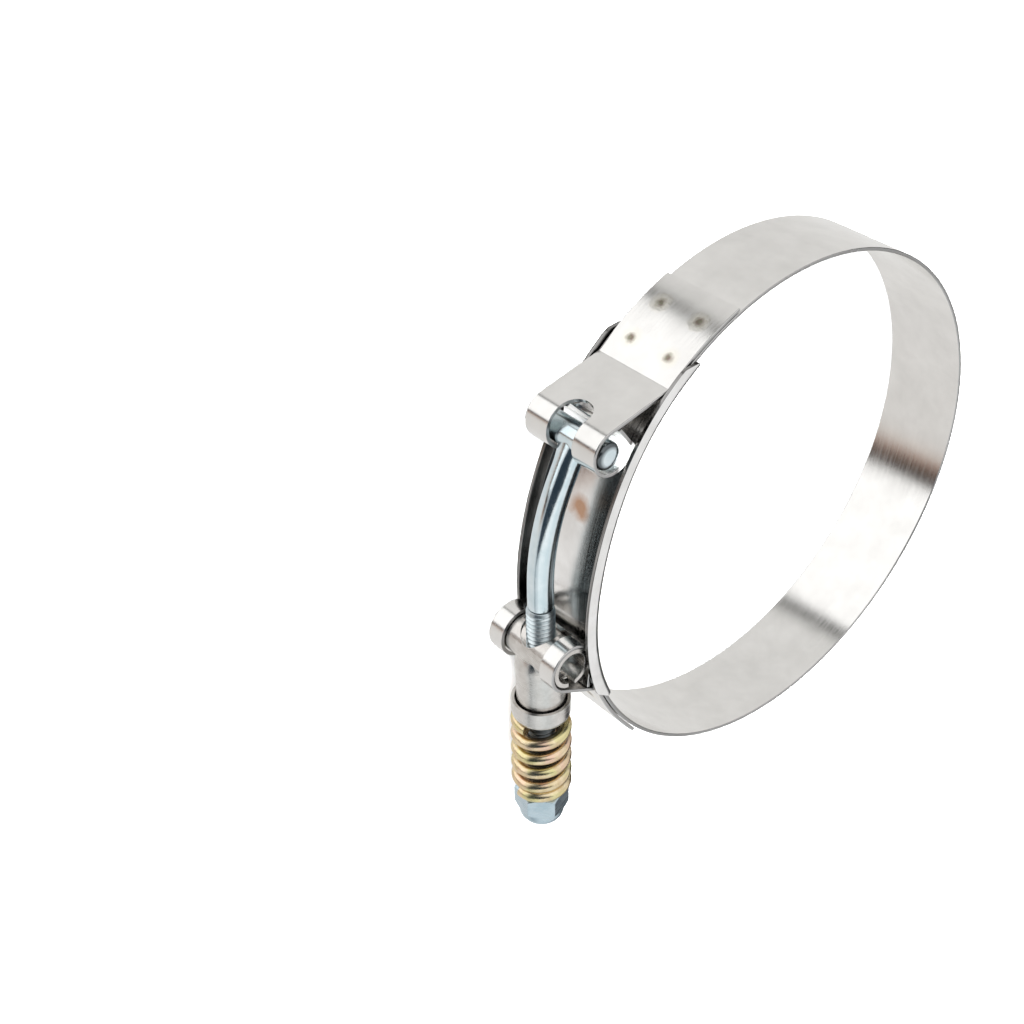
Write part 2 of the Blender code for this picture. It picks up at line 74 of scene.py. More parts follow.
# %% Take the main places from the frame
MM = 0.001
swivel = Vector(joints["bolt_swivel"]["pos_m"])
trunnion_axis = Vector(joints["nut_turn"]["pos_m"])
along_bolt = -Vector(joints["nut_turn"]["axis"]).normalized()
mid_height = trunnion_axis.z
_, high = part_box("band")
RING_OUTER = 56.55 * MM
ring_centre = Vector((high.x - RING_OUTER, high.y - RING_OUTER, mid_height))
bolt_turn = math.atan2(along_bolt.y, along_bolt.x)
bolt_frame = Matrix.Translation(trunnion_axis) @ Matrix.Rotation(bolt_turn, 4, "Z")
print("ring centre", [round(value / MM, 2) for value in ring_centre])
print("bolt direction", [round(value, 4) for value in along_bolt])

# %% [markdown]
# ## Camera
#
# The camera stands where the photograph was taken from. It could be moved about
# until the outlines agree, but the two edges of the ring are circles a known
# width apart, which fixes the camera by calculation. So it is written as its
# right and forward directions and its place, in millimetres from the ring's centre.

# %% Set the camera
CAMERA_PLACE = Vector((-144.883, -271.191, 192.091))
FOCAL_LENGTH, SENSOR_WIDTH = 59.28, 36.0
right = Vector((-0.17625, 0.7424, 0.64635)).normalized()
forward = Vector((0.44345, 0.64611, -0.6212)).normalized()
down = forward.cross(right).normalized()
lens = bpy.data.cameras.new("camera")
lens.sensor_width = SENSOR_WIDTH
lens.lens = FOCAL_LENGTH
lens.clip_start = 0.01
camera = bpy.data.objects.new("camera", lens)
bpy.context.scene.collection.objects.link(camera)
camera_axes = Matrix((right, -down, -forward)).transposed().to_4x4()
camera.matrix_world = Matrix.Translation(ring_centre + CAMERA_PLACE * MM) @ camera_axes
bpy.context.scene.camera = camera
print("camera at", [round(value, 4) for value in camera.location])

# %% [markdown]
# ## Building blocks for the finishes
#
# All metals here are plated or bare steel, so they share a few effects: rolling
# lines, drawing lines, cloudy plating and eased edges. Each could be repeated in
# every material. Instead each is a node group that puts out only numbers, colours
# or normals, and the shader stays in each material. These helpers add a node, join
# its inputs and hand back its output, so that a chain of nodes reads like a sum.

# %% Helpers that add and join nodes


def add(tree, kind, inputs=(), **choices):
    """Add a node, set its choices and join or fill its inputs."""
    node = tree.nodes.new(kind)
    for name, value in choices.items():
        setattr(node, name, value)
    for key, value in dict(inputs).items():
        if isinstance(value, bpy.types.NodeSocket):
            tree.links.new(value, node.inputs[key])
        else:
            node.inputs[key].default_value = value
    return node


def maths(tree, operation, *values):
    """One sum on numbers, such as ADD or MULTIPLY_ADD."""
    numbered = {index: value for index, value in enumerate(values)}
    return add(tree, "ShaderNodeMath", numbered, operation=operation).outputs[0]


def vector_maths(tree, operation, *values):
    """The same on vectors."""
    numbered = {index: value for index, value in enumerate(values)}
    return add(tree, "ShaderNodeVectorMath", numbered, operation=operation).outputs[0]


def blend_colors(tree, amount, first, second):
    """The first colour at 0, the second at 1, and a mix in between."""
    inputs = {0: amount, 6: first, 7: second}
    return add(tree, "ShaderNodeMix", inputs, data_type="RGBA").outputs[2]


def between(tree, value, low_in, high_in, low_out=0.0, high_out=1.0):
    """Stretch a range of numbers to another, held at its ends."""
    inputs = {0: value, 1: low_in, 2: high_in, 3: low_out, 4: high_out}
    return add(tree, "ShaderNodeMapRange", inputs, clamp=True).outputs[0]


def distance(tree, vector):
    node = add(tree, "ShaderNodeVectorMath", {0: vector}, operation="LENGTH")
    return node.outputs["Value"]


def parts_of(tree, vector):
    """A vector's X, Y and Z."""
    return add(tree, "ShaderNodeSeparateXYZ", {0: vector}).outputs


def noise(tree, vector, scale, detail=2.0, rough=0.5):
    """Cloudy numbers round a half, with more cells a metre at a larger scale."""
    inputs = {"Vector": vector, "Scale": scale, "Detail": detail, "Roughness": rough}
    return add(tree, "ShaderNodeTexNoise", inputs).outputs["Fac"]


def ramp(tree, value, stops):
    """A colour ramp from rows of place, red, green and blue."""
    node = add(tree, "ShaderNodeValToRGB", {0: value})
    elements = node.color_ramp.elements
    while len(elements) < len(stops):
        elements.new(0.5)
    for element, (place, *color) in zip(elements, sorted(stops)):
        element.position = place
        element.color = (*color, 1.0)
    return node.outputs[0]


def start_group(name, takes, gives):
    """A new node group, the sockets that it takes and those that it gives."""
    group = bpy.data.node_groups.new(name, "ShaderNodeTree")
    for label, kind, value in takes:
        socket = group.interface.new_socket(label, in_out="INPUT", socket_type=kind)
        socket.default_value = value
    for label, kind in gives:
        group.interface.new_socket(label, in_out="OUTPUT", socket_type=kind)
    entry = group.nodes.new("NodeGroupInput")
    result = group.nodes.new("NodeGroupOutput")
    return group, entry.outputs, result.inputs


def use_group(tree, group, inputs=()):
    """Place a group in a tree with its own values, and hand back its outputs."""
    node = add(tree, "ShaderNodeGroup")
    node.node_tree = group
    for key, value in dict(inputs).items():
        if isinstance(value, bpy.types.NodeSocket):
            tree.links.new(value, node.inputs[key])
        else:
            node.inputs[key].default_value = value
    return node.outputs


def object_places(tree):
    """Where each point lies in its own object, so that a finish moves with it."""
    return tree.nodes.new("ShaderNodeTexCoord").outputs["Object"]


def places_from(tree, origin):
    return vector_maths(tree, "SUBTRACT", object_places(tree), tuple(origin))


def from_axis(tree, apart):
    """How far a place lies from the upright line through its origin."""
    return distance(tree, add(
        tree, "ShaderNodeCombineXYZ", {0: apart[0], 1: apart[1]}).outputs[0])


print("node helpers are ready")

# %% [markdown]
# ## Floor
#
# The clamp lies on a plain sheet of pale paper. A small plane would show its edge,
# so the sheet is 8 m across. Polished metal so near to it would mirror nothing but
# paper, so the sheet is hidden from reflections and the studio's walls are seen.

# %% Lay the floor


def new_material(name, color, roughness, metallic=0.0):
    made = bpy.data.materials.new(name)
    made.use_nodes = True
    shader = made.node_tree.nodes["Principled BSDF"]
    shader.inputs["Base Color"].default_value = (*color, 1.0)
    shader.inputs["Roughness"].default_value = roughness
    shader.inputs["Metallic"].default_value = metallic
    return made, made.node_tree, shader


FAR = 4.0
floor_mesh = bpy.data.meshes.new("floor")
floor_mesh.from_pydata([(-FAR, -FAR, 0), (FAR, -FAR, 0), (FAR, FAR, 0), (-FAR, FAR, 0)],
                       [], [(0, 1, 2, 3)])
floor = bpy.data.objects.new("floor", floor_mesh)
bpy.context.scene.collection.objects.link(floor)
floor_material, _, _ = new_material("floor_paper", (0.93, 0.93, 0.93), 0.9)
floor_mesh.materials.append(floor_material)
floor.visible_glossy = False
print("floor:", 2 * FAR, "m across")

# %% [markdown]
# ## Backdrop
#
# Seen from low down, the floor would end in a dark line. A wall could hide it, but
# a wall would cast and mirror light. A pale dome closes the view on all sides, and
# because only the camera sees it, it neither shades the clamp nor shows in metal.

# %% Close the view with a dome
DOME_RADIUS = 1.3
dome_mesh = bpy.data.meshes.new("backdrop")
work = bmesh.new()
bmesh.ops.create_uvsphere(work, u_segments=48, v_segments=24, radius=DOME_RADIUS)
work.to_mesh(dome_mesh)
work.free()
dome = bpy.data.objects.new("backdrop", dome_mesh)
bpy.context.scene.collection.objects.link(dome)
dome_material, _, paint = new_material("backdrop_paint", (0.0, 0.0, 0.0), 1.0)
paint.inputs["Emission Color"].default_value = (1.0, 1.0, 1.0, 1.0)
paint.inputs["Emission Strength"].default_value = 1.0
dome_mesh.materials.append(dome_material)
dome.visible_diffuse = dome.visible_glossy = False
dome.visible_transmission = dome.visible_shadow = False
print("backdrop:", len(dome_mesh.polygons), "faces")

# %% [markdown]
# ## Studio light
#
# Bright metal is drawn by what it mirrors. Panels and boards could stand round the
# clamp, but each would also light it and need a place of its own. The world can do
# the same by direction alone: three colour ramps run round the compass, for what
# lies below, level with and above the clamp. Below, a white panel has a dark gap on
# either side, and those give the ring its white stretch and its two smudges. A dark
# board to the front draws the long streak down the bolt. A large soft light
# overhead and a small one in front light only the paper and the matt surfaces.

# %% Build the studio round the clamp
world = bpy.data.worlds.new("studio")
bpy.context.scene.world = world
world.use_nodes = True
sky_tree = world.node_tree
compass = sky_tree.nodes.new("ShaderNodeTexCoord").outputs["Generated"]
heading = parts_of(sky_tree, compass)
turn = maths(sky_tree, "ARCTAN2", heading[1], heading[0])
turn = maths(sky_tree, "FRACT", maths(sky_tree, "MULTIPLY", turn, 0.5 / math.pi))


def by_degrees(*rows):
    """Rows of a compass heading and a colour, as stops of a ramp."""
    return [(degrees / 360, *color) for degrees, *color in rows]


LEAN, LEAN_FROM, LEAN_TO = 12 / 360, -0.62, -0.46
BELOW_ENDS, ABOVE_STARTS = (-0.32, -0.04), (0.28, 0.40)
lean = between(sky_tree, heading[2], LEAN_FROM, LEAN_TO, LEAN, 0.0)
leaning = maths(sky_tree, "FRACT", maths(sky_tree, "ADD", turn, lean))
below = ramp(sky_tree, leaning, by_degrees(
    (0, 0.86, 0.85, 0.84), (60, 0.88, 0.875, 0.86), (150, 0.84, 0.835, 0.825),
    (190, 0.88, 0.875, 0.865), (198.5, 0.86, 0.855, 0.845), (203, 0.16, 0.16, 0.155),
    (206, 0.10, 0.10, 0.10), (208.5, 1.36, 1.36, 1.36), (278.5, 1.36, 1.36, 1.36),
    (281.5, 0.05, 0.045, 0.04), (287, 0.04, 0.03, 0.025), (290, 0.34, 0.18, 0.12),
    (294, 0.74, 0.67, 0.62), (300, 0.84, 0.825, 0.81), (359, 0.86, 0.85, 0.84)))
above = ramp(sky_tree, turn, by_degrees(
    (0, 0.86, 0.92, 0.94), (25, 0.9, 0.92, 0.93), (45, 0.9, 0.9, 0.9),
    (80, 0.9, 0.9, 0.9), (110, 0.8, 0.8, 0.8), (180, 1.1, 1.1, 1.1),
    (300, 1.1, 1.1, 1.1), (359, 0.86, 0.92, 0.94)))
middle = ramp(sky_tree, turn, by_degrees(
    (0, 0.88, 0.92, 0.93), (22, 0.80, 0.85, 0.87), (48, 0.05, 0.05, 0.055),
    (240, 0.05, 0.05, 0.055), (262, 0.55, 0.57, 0.6), (359, 0.88, 0.92, 0.93)))
level = between(sky_tree, heading[2], *BELOW_ENDS)
color = blend_colors(sky_tree, level, below, middle)
raised = between(sky_tree, heading[2], *ABOVE_STARTS)
color = blend_colors(sky_tree, raised, color, above)
print("studio walls: three rings of colour,", len(sky_tree.nodes), "nodes")

# %% Stand the dark board in front and hang two soft lights
BOARD_COLOR = (0.03, 0.045, 0.06, 1.0)
board_top = between(sky_tree, turn, 294 / 360, 309 / 360, 1.05, 0.02)
under_top = maths(sky_tree, "SUBTRACT", board_top, heading[2])
board = maths(sky_tree, "MULTIPLY", between(sky_tree, heading[2], -0.07, 0.0),
              between(sky_tree, under_top, -0.05, 0.05))
board = maths(sky_tree, "MULTIPLY", board, between(sky_tree, turn, 228 / 360, 250 / 360))
color = blend_colors(sky_tree, board, color, BOARD_COLOR)
sky = sky_tree.nodes["Background"]
sky_tree.links.new(color, sky.inputs["Color"])
sky.inputs["Strength"].default_value = 1.0


def area_light(name, place, aim, size, power):
    """A square light that is aimed at a point and isn't seen in metal."""
    light = bpy.data.lights.new(name, "AREA")
    light.shape = "RECTANGLE"
    light.size = light.size_y = size
    light.energy = power
    made = bpy.data.objects.new(name, light)
    bpy.context.scene.collection.objects.link(made)
    made.location = place
    made.rotation_euler = (aim - place).to_track_quat("-Z", "Y").to_euler()
    made.visible_glossy = False


FRONT_DISTANCE = 0.6
area_light("overhead_light", Vector((-0.3, 0.1, 1.1)), Vector(), size=3.2, power=26.0)
area_light("front_light", ring_centre - forward * FRONT_DISTANCE, ring_centre,
           size=0.25, power=11.0)
bpy.context.scene.view_settings.view_transform = "Standard"
print("dark board and two soft lights")

# %% [markdown]
# ## Pieces from the solids
#
# The band, its straps, the bridge, the trunnion and the cup are folded or pressed
# from thin sheet, and their solids already have those folds. Modelling them again
# would only risk a gap where they meet. So each is a copy whose doubled points are
# merged and whose flat triangles are joined, with smooth shading, so that the
# curved strip reflects without facets.

# %% Copy the sheet-metal solids
MERGE_WITHIN = 0.002 * MM
FLAT_WITHIN = math.radians(0.3)


def link_piece(name, mesh, body, made_from):
    """Put a piece in the scene, on its body, in place of the solid."""
    piece = bpy.data.objects.new(name, mesh)
    bpy.context.scene.collection.objects.link(piece)
    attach(piece, body)
    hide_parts(made_from)
    return piece


def smooth_copy(node, name, body, angle=35):
    """A copy of a solid with joined points and smooth curved faces."""
    mesh = bpy.data.meshes.new(name)
    work = bmesh.new()
    work.from_mesh(frame["nodes"][node].data)
    bmesh.ops.remove_doubles(work, verts=work.verts, dist=MERGE_WITHIN)
    bmesh.ops.dissolve_limit(
        work, angle_limit=FLAT_WITHIN, verts=work.verts, edges=work.edges)
    work.to_mesh(mesh)
    work.free()
    mesh.shade_smooth()
    mesh.set_sharp_from_angle(angle=math.radians(angle))
    return link_piece(name, mesh, body, node)


band = smooth_copy("band", "ring_band", "ring")
head_loop = smooth_copy("head_loop", "head_strap", "ring")
trunnion_loop = smooth_copy("trunnion_loop", "trunnion_strap", "ring")
bridge = smooth_copy("bridge", "bridge_channel", "ring")
trunnion = smooth_copy("trunnion", "trunnion_sleeve", "trunnion")
cup = smooth_copy("spring_cup", "spring_seat_cup", "trunnion")
sheet_pieces = [band, head_loop, trunnion_loop, bridge, trunnion, cup]
print("copied", ", ".join(piece.name for piece in sheet_pieces))

# %% [markdown]
# ## The T-bolt
#
# The bolt is a drawn rod with a cross head. Its centre line leaves the T-head flat,
# bends once over the bridge and runs straight through the trunnion. A curve object
# could carry it, but the thread needs to know how far along the bolt each ring of
# points lies. So a function walks the line and gives points with that distance.

# %% Follow the bolt's centre line
HEAD_RADIUS = 2.85 * MM
HEAD_HALF_LENGTH = 9.2 * MM
SHANK_RADIUS = 2.65 * MM
SHANK_ROOT = 6.0 * MM
THREAD_RADIUS = 2.93 * MM
THREAD_ROOT = 2.42 * MM
THREAD_LENGTH = 57.0 * MM
PITCH = 1.0 * MM
BOLT_END = 47.1 * MM
BEND_RADIUS = 50.0 * MM
HEAD_SLOPE = math.radians(11.469)


def unit(turn):
    return Vector((math.cos(turn), math.sin(turn), 0))


def bolt_line(step):
    """Points, headings and distances from the head along the bolt, a step apart."""
    near, far = unit(-HEAD_SLOPE), unit(bolt_turn)
    gap = trunnion_axis - swivel
    to_corner = gap.cross(far).z / near.cross(far).z
    corner = swivel + near * to_corner
    turn = HEAD_SLOPE + bolt_turn
    trim = BEND_RADIUS * math.tan(turn / 2)
    first = to_corner - trim
    bend = BEND_RADIUS * turn
    last = (trunnion_axis - corner).length - trim + BOLT_END
    centre = swivel + near * first + Vector((-near.y, near.x, 0)) * BEND_RADIUS
    total = first + bend + last
    line = []
    for index in range(round(total / step) + 1):
        run = min(index * step, total)
        if run < first:
            line.append((swivel + near * run, -HEAD_SLOPE, run))
        elif run < first + bend:
            heading = (run - first) / BEND_RADIUS - HEAD_SLOPE
            out = Vector((math.sin(heading), -math.cos(heading), 0))
            line.append((centre + out * BEND_RADIUS, heading, run))
        else:
            point = corner + far * (trim + run - first - bend)
            line.append((point, bolt_turn, run))
    return line, total


line, bolt_length = bolt_line(0.5 * MM)
thread_start = bolt_length - THREAD_LENGTH
print("bolt", round(bolt_length / MM, 1), "mm long, its thread starts at",
      round(thread_start / MM, 1), "mm")

# %% [markdown]
# ## Skin and thread
#
# A rolled thread is a ridge that winds up the rod. A screw modifier could turn it,
# but then it would need a joint to the shank and a run-out of its own. Here every
# ring of points gets its radius from its distance along the bolt and its angle, so
# the ridge winds, rises out of the shank and ends in a small chamfer by one rule.

# %% Skin a row of rings


def skin(name, rings, closed=False, sharp=35):
    """One closed body through a row of rings, capped unless it closes on itself."""
    mesh = bpy.data.meshes.new(name)
    work = bmesh.new()
    rows = [[work.verts.new(point) for point in ring] for ring in rings]
    pairs = list(zip(rows, rows[1:]))
    if closed:
        pairs.append((rows[-1], rows[0]))
    for near, far in pairs:
        for index in range(len(near)):
            after = (index + 1) % len(near)
            work.faces.new((near[index], near[after], far[after], far[index]))
    if not closed:
        work.faces.new(list(reversed(rows[0])))
        work.faces.new(rows[-1])
    bmesh.ops.recalc_face_normals(work, faces=work.faces)
    work.to_mesh(mesh)
    work.free()
    mesh.shade_smooth()
    mesh.set_sharp_from_angle(angle=math.radians(sharp))
    return mesh


def section(point, heading, radii, tall=0.0):
    """A ring round a point of a level path, from its radius at each angle."""
    left = Vector((-math.sin(heading), math.cos(heading), 0))
    ring = []
    for index, radius in enumerate(radii):
        turn = 2 * math.pi * index / len(radii)
        up = Vector((0, 0, (radius + tall) * math.sin(turn)))
        ring.append(point + left * radius * math.cos(turn) + up)
    return ring


print("skin and section are ready")

# %% Roll the thread
RUN_OUT = 1.5 * MM
POINT_LENGTH, POINT_DROP = 0.7 * MM, 0.62 * MM
CREST_SHARE, FLANK_SHARE = 0.07, 0.36
SIDES = 56
THREAD_STEP = 0.09 * MM
angles = [2 * math.pi * index / SIDES for index in range(SIDES)]


def held(share):
    return min(1.0, max(0.0, share))


def thread_radius(run, turn):
    """The thread's radius at a distance along the bolt and an angle round it."""
    phase = (run / PITCH - turn / (2 * math.pi)) % 1.0
    slope = held((abs(phase - 0.5) - CREST_SHARE) / FLANK_SHARE)
    start = held((run - thread_start) / RUN_OUT)
    end = held((bolt_length - run) / POINT_LENGTH)
    crest = SHANK_RADIUS + (THREAD_RADIUS - SHANK_RADIUS) * min(1.0, start * 2)
    crest = crest - (1 - end) * POINT_DROP
    root = SHANK_RADIUS + (THREAD_ROOT - SHANK_RADIUS) * start
    return min(crest, root + (crest - root) * (1 - slope) + (1 - start) * (crest - root))


fine, _ = bolt_line(THREAD_STEP)
rings = [section(point, heading, [thread_radius(run, turn) for turn in angles])
         for point, heading, run in fine if run > thread_start - 0.2 * MM]
thread = bpy.data.objects.new("bolt_thread", skin("bolt_thread", rings, sharp=75))
bpy.context.scene.collection.objects.link(thread)
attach(thread, "bolt")
print("thread:", len(rings), "rings")

# %% [markdown]
# ## T-head and shank
#
# The head is forged on, so it flows into the shank in a soft root. A plain union
# of two rods would leave a sharp crease there. Instead both rods, the head with
# rounded ends and the shank with a swell at its root, are put in one mesh, joined
# by a fine voxel remesh and then smoothed a little, as forging would.

# %% Shape the head and the shank
HEAD_ROUND = 1.0 * MM
ROUND_POWER, ROUND_ROOT = 2.4, 0.4
HEAD_STEPS = 80
TIP_RADIUS = 0.02 * MM
ROOT_SWELL = 0.65 * MM
cross_rings = []
for index in range(HEAD_STEPS + 1):
    share = math.sin(math.pi * (index / HEAD_STEPS - 0.5))
    height = share * HEAD_HALF_LENGTH
    from_end = HEAD_HALF_LENGTH - abs(height)
    dip = max(0.0, 1 - from_end / HEAD_ROUND)
    rounding = max(0.0, 1 - dip ** ROUND_POWER) ** ROUND_ROOT
    radius = max(TIP_RADIUS, HEAD_RADIUS * rounding)
    centre = swivel + Vector((0, 0, height))
    cross_rings.append([
        centre + Vector((radius * math.cos(turn), radius * math.sin(turn), 0))
        for turn in angles])
shank_rings = []
for point, heading, run in line:
    if run <= thread_start + 0.1 * MM:
        ease = min(1.0, run / SHANK_ROOT)
        swell = ROOT_SWELL * (0.5 + 0.5 * math.cos(math.pi * ease))
        shank_rings.append(section(point, heading, [SHANK_RADIUS] * SIDES, swell))
print("head:", len(cross_rings), "rings, shank:", len(shank_rings), "rings")

# %% Forge them into one piece
VOXEL = 0.115 * MM
SMOOTHING_ROUNDS = 9
cross_mesh = skin("t_head_and_shank", cross_rings)
work = bmesh.new()
work.from_mesh(cross_mesh)
work.from_mesh(skin("shank", shank_rings))
work.to_mesh(cross_mesh)
work.free()
shank = bpy.data.objects.new("bolt_shank", cross_mesh)
bpy.context.scene.collection.objects.link(shank)


def bake(piece):
    """Apply the piece's modifiers to its own mesh."""
    bpy.context.view_layer.update()
    shaped = piece.evaluated_get(bpy.context.evaluated_depsgraph_get())
    piece.data = bpy.data.meshes.new_from_object(shaped)
    piece.modifiers.clear()
    piece.data.shade_smooth()


fuse = shank.modifiers.new("fuse", "REMESH")
fuse.mode = "VOXEL"
fuse.voxel_size = VOXEL
relax = shank.modifiers.new("relax", "SMOOTH")
relax.factor = 0.5
relax.iterations = SMOOTHING_ROUNDS
bake(shank)
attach(shank, "bolt")
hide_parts("t_bolt")
print("T-head and shank:", len(shank.data.polygons), "faces")

# %% [markdown]
# ## Spring
#
# The spring is round wire in an open helix, with its last turn closed and both
# ends ground flat. A bevelled curve could draw it, but not its flat ends. Rings of
# points along the helix can be held between the two end planes, which grinds them.
# It rides on the spring's own body.

# %% Wind the spring
CUP_FLOOR = 17.6 * MM
SEAT = 0.3 * MM
SPRING_LENGTH = 20.6 * MM
SPRING_RADIUS = 6.35 * MM
WIRE = 2.7 * MM
TURNS = 5.05
CUP_CLOSED, NUT_CLOSED = 0.2, 1.05
GROUND = 0.3 * MM
TIP_ANGLE = math.radians(167.0)
spring_start = CUP_FLOOR + SEAT
spring_end = spring_start + SPRING_LENGTH


def spring_travel(turn):
    """How far the wire has climbed, slowly while its turns touch."""
    closed_turns = CUP_CLOSED + NUT_CLOSED
    height = SPRING_LENGTH + 2 * GROUND - WIRE
    pitch = (height - closed_turns * WIRE) / (TURNS - closed_turns)
    closed = min(turn, CUP_CLOSED) + max(0, turn - TURNS + NUT_CLOSED)
    return closed * WIRE + (turn - closed) * pitch


STEPS_PER_TURN, WIRE_SIDES = 90, 26
rings = []
steps = round(TURNS * STEPS_PER_TURN)
for index in range(steps + 1):
    turn = TURNS * index / steps
    angle = TIP_ANGLE + 2 * math.pi * turn
    outward = Vector((0, math.cos(angle), math.sin(angle)))
    along = spring_start - GROUND + WIRE / 2 + spring_travel(turn)
    centre = Vector((along, 0, 0)) + outward * (SPRING_RADIUS - WIRE / 2)
    ring = []
    for corner in range(WIRE_SIDES):
        around = 2 * math.pi * (corner + 0.5) / WIRE_SIDES
        aside = outward * math.cos(around) + Vector((math.sin(around), 0, 0))
        point = centre + aside * WIRE / 2
        point.x = min(max(point.x, spring_start), spring_end)
        ring.append(bolt_frame @ point)
    rings.append(ring)
spring = link_piece(
    "coil_spring", skin("coil_spring", rings), "spring", "spring")
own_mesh(spring)

# %% [markdown]
# ## Lock nut
#
# The nut is a hexagon whose far end is a rounded collar, rolled in over a nylon
# ring that grips the thread. Its hexagon could be cut from a cylinder by planes and
# its chamfers by cones. One rule does both: at each place along the nut, every
# point lies as far out as the hexagon allows, but never beyond a turned outline.

# %% Cut the nut
NUT_START = spring_end + SEAT
NUT_HEX, NUT_COLLAR = 5.0 * MM, 3.0 * MM
HALF_FLATS = 5.0 * MM
CORNER = HALF_FLATS / math.cos(math.pi / 6)
FLAT_ANGLE = math.radians(12.0)
COLLAR_RADIUS, COLLAR_ROUND = 4.8 * MM, 0.95 * MM
COLLAR_STRAIGHT = 0.3
FACE_CHAMFER = 0.1 * MM
FRONT_SLOPE, BACK_SLOPE = 1.6, 1.2
NUT_SIDES, NUT_STEPS = 168, 90
nut_end = NUT_START + NUT_HEX + NUT_COLLAR


def hexagon_radius(turn):
    """How far out the hexagon's side lies at an angle."""
    sector = math.pi / 3
    return HALF_FLATS / math.cos((turn - FLAT_ANGLE + sector / 2) % sector - sector / 2)


def nut_envelope(x):
    """The largest radius allowed at a distance along the nut."""
    from_start = x - NUT_START
    to_hex_end = NUT_START + NUT_HEX - x
    front = HALF_FLATS - FACE_CHAMFER + from_start * FRONT_SLOPE
    back = HALF_FLATS + to_hex_end * BACK_SLOPE
    if to_hex_end >= 0:
        return min(CORNER, front, back)
    bent = max(0.0, -to_hex_end / NUT_COLLAR - COLLAR_STRAIGHT) / (1 - COLLAR_STRAIGHT)
    return COLLAR_RADIUS - COLLAR_ROUND * bent ** 2


def turned_rings(profile, sides, first=0.0, reach_at=None):
    """Rings about the bolt from a profile, held inside the reach at each angle."""
    made = []
    for x, radius in profile:
        ring = []
        for index in range(sides):
            turn = first + 2 * math.pi * index / sides
            reach = min(radius, reach_at(turn)) if reach_at else radius
            spot = Vector((x, reach * math.cos(turn), reach * math.sin(turn)))
            ring.append(bolt_frame @ spot)
        made.append(ring)
    return made


LIP, LIP_BORE = 0.5 * MM, 3.5 * MM
POCKET, POCKET_BORE = 2.9 * MM, 4.0 * MM
NUT_BORE, NUT_MOUTH = 3.15 * MM, 3.6 * MM
nut_steps = [NUT_START + (nut_end - NUT_START) * index / NUT_STEPS
             for index in range(NUT_STEPS + 1)]
nut_profile = [(x, nut_envelope(x)) for x in nut_steps] + [
    (nut_end, LIP_BORE), (nut_end - LIP, LIP_BORE), (nut_end - LIP, POCKET_BORE),
    (nut_end - POCKET, POCKET_BORE), (nut_end - POCKET, NUT_BORE),
    (NUT_START + LIP, NUT_BORE), (NUT_START, NUT_MOUTH)]
nut_rings = turned_rings(nut_profile, NUT_SIDES, FLAT_ANGLE, hexagon_radius)
nut_mesh = skin("lock_nut", nut_rings, closed=True, sharp=20)
nut = link_piece("lock_nut", nut_mesh, "nut", "nut")
print("nut from", round(NUT_START / MM, 1), "to", round(nut_end / MM, 1), "mm")

# %% Seat the nylon ring in its collar
RING_HEIGHT, RING_RADIUS, RING_BORE = 2.2 * MM, 3.9 * MM, 3.08 * MM
RING_MOUTH, RING_CHAMFER = 3.3 * MM, 0.3 * MM
RING_PLAY = 0.1 * MM
RING_SIDES = 96
insert_end = nut_end - LIP - RING_PLAY
insert_start = insert_end - RING_HEIGHT
insert_profile = [(insert_start, RING_BORE), (insert_start, RING_RADIUS),
                  (insert_end, RING_RADIUS), (insert_end, RING_MOUTH),
                  (insert_end - RING_CHAMFER, RING_BORE)]
insert_mesh = skin("nylon_ring", turned_rings(insert_profile, RING_SIDES), closed=True)
insert = link_piece("nylon_ring", insert_mesh, "nut", "nut_insert")
print("nylon ring:", round(RING_HEIGHT / MM, 1), "mm high")

# %% [markdown]
# ## Rolled strip
#
# Band steel comes off the rolls with fine lines along its length and a faint
# cloudiness. A picture of scratches could be laid over it, but that would need
# unwrapping and would show its seams. Noise in the object's own space needs
# neither: pulled long, it varies quickly across the strip and slowly along it.

# %% Group the rolling lines
FLOAT, COLOR, VECTOR = "NodeSocketFloat", "NodeSocketColor", "NodeSocketVector"
ALONG_STRIP, ACROSS_STRIP = 45.0, 4200.0
rolled_strip, taken, given = start_group(
    "rolled_strip", [("Fineness", FLOAT, 1.0)],
    [("Lines", FLOAT), ("Clouds", FLOAT), ("Height", FLOAT)])
places = object_places(rolled_strip)
stretched = vector_maths(
    rolled_strip, "MULTIPLY", places, (ALONG_STRIP, ALONG_STRIP, ACROSS_STRIP))
lines = noise(rolled_strip, stretched, taken["Fineness"], detail=4.0, rough=0.62)
clouds = noise(rolled_strip, places, scale=160.0, detail=4.0, rough=0.55)
pits = noise(rolled_strip, places, scale=2600.0)
height = maths(rolled_strip, "MULTIPLY_ADD", pits, 0.25, lines)
rolled_strip.links.new(lines, given["Lines"])
rolled_strip.links.new(clouds, given["Clouds"])
rolled_strip.links.new(height, given["Height"])
print("rolled_strip:", len(rolled_strip.nodes), "nodes")

# %% [markdown]
# ## Spot welds
#
# Four resistance welds hold each strap to the band, in two rows of two. Each left
# a shallow dent with a dark middle inside a straw-coloured heat ring. Eight small
# painted marks would do. But they mirror each other about the gap, the rows and
# the strap's middle, so the distances are folded over by absolute values, and one
# mark serves for all eight.

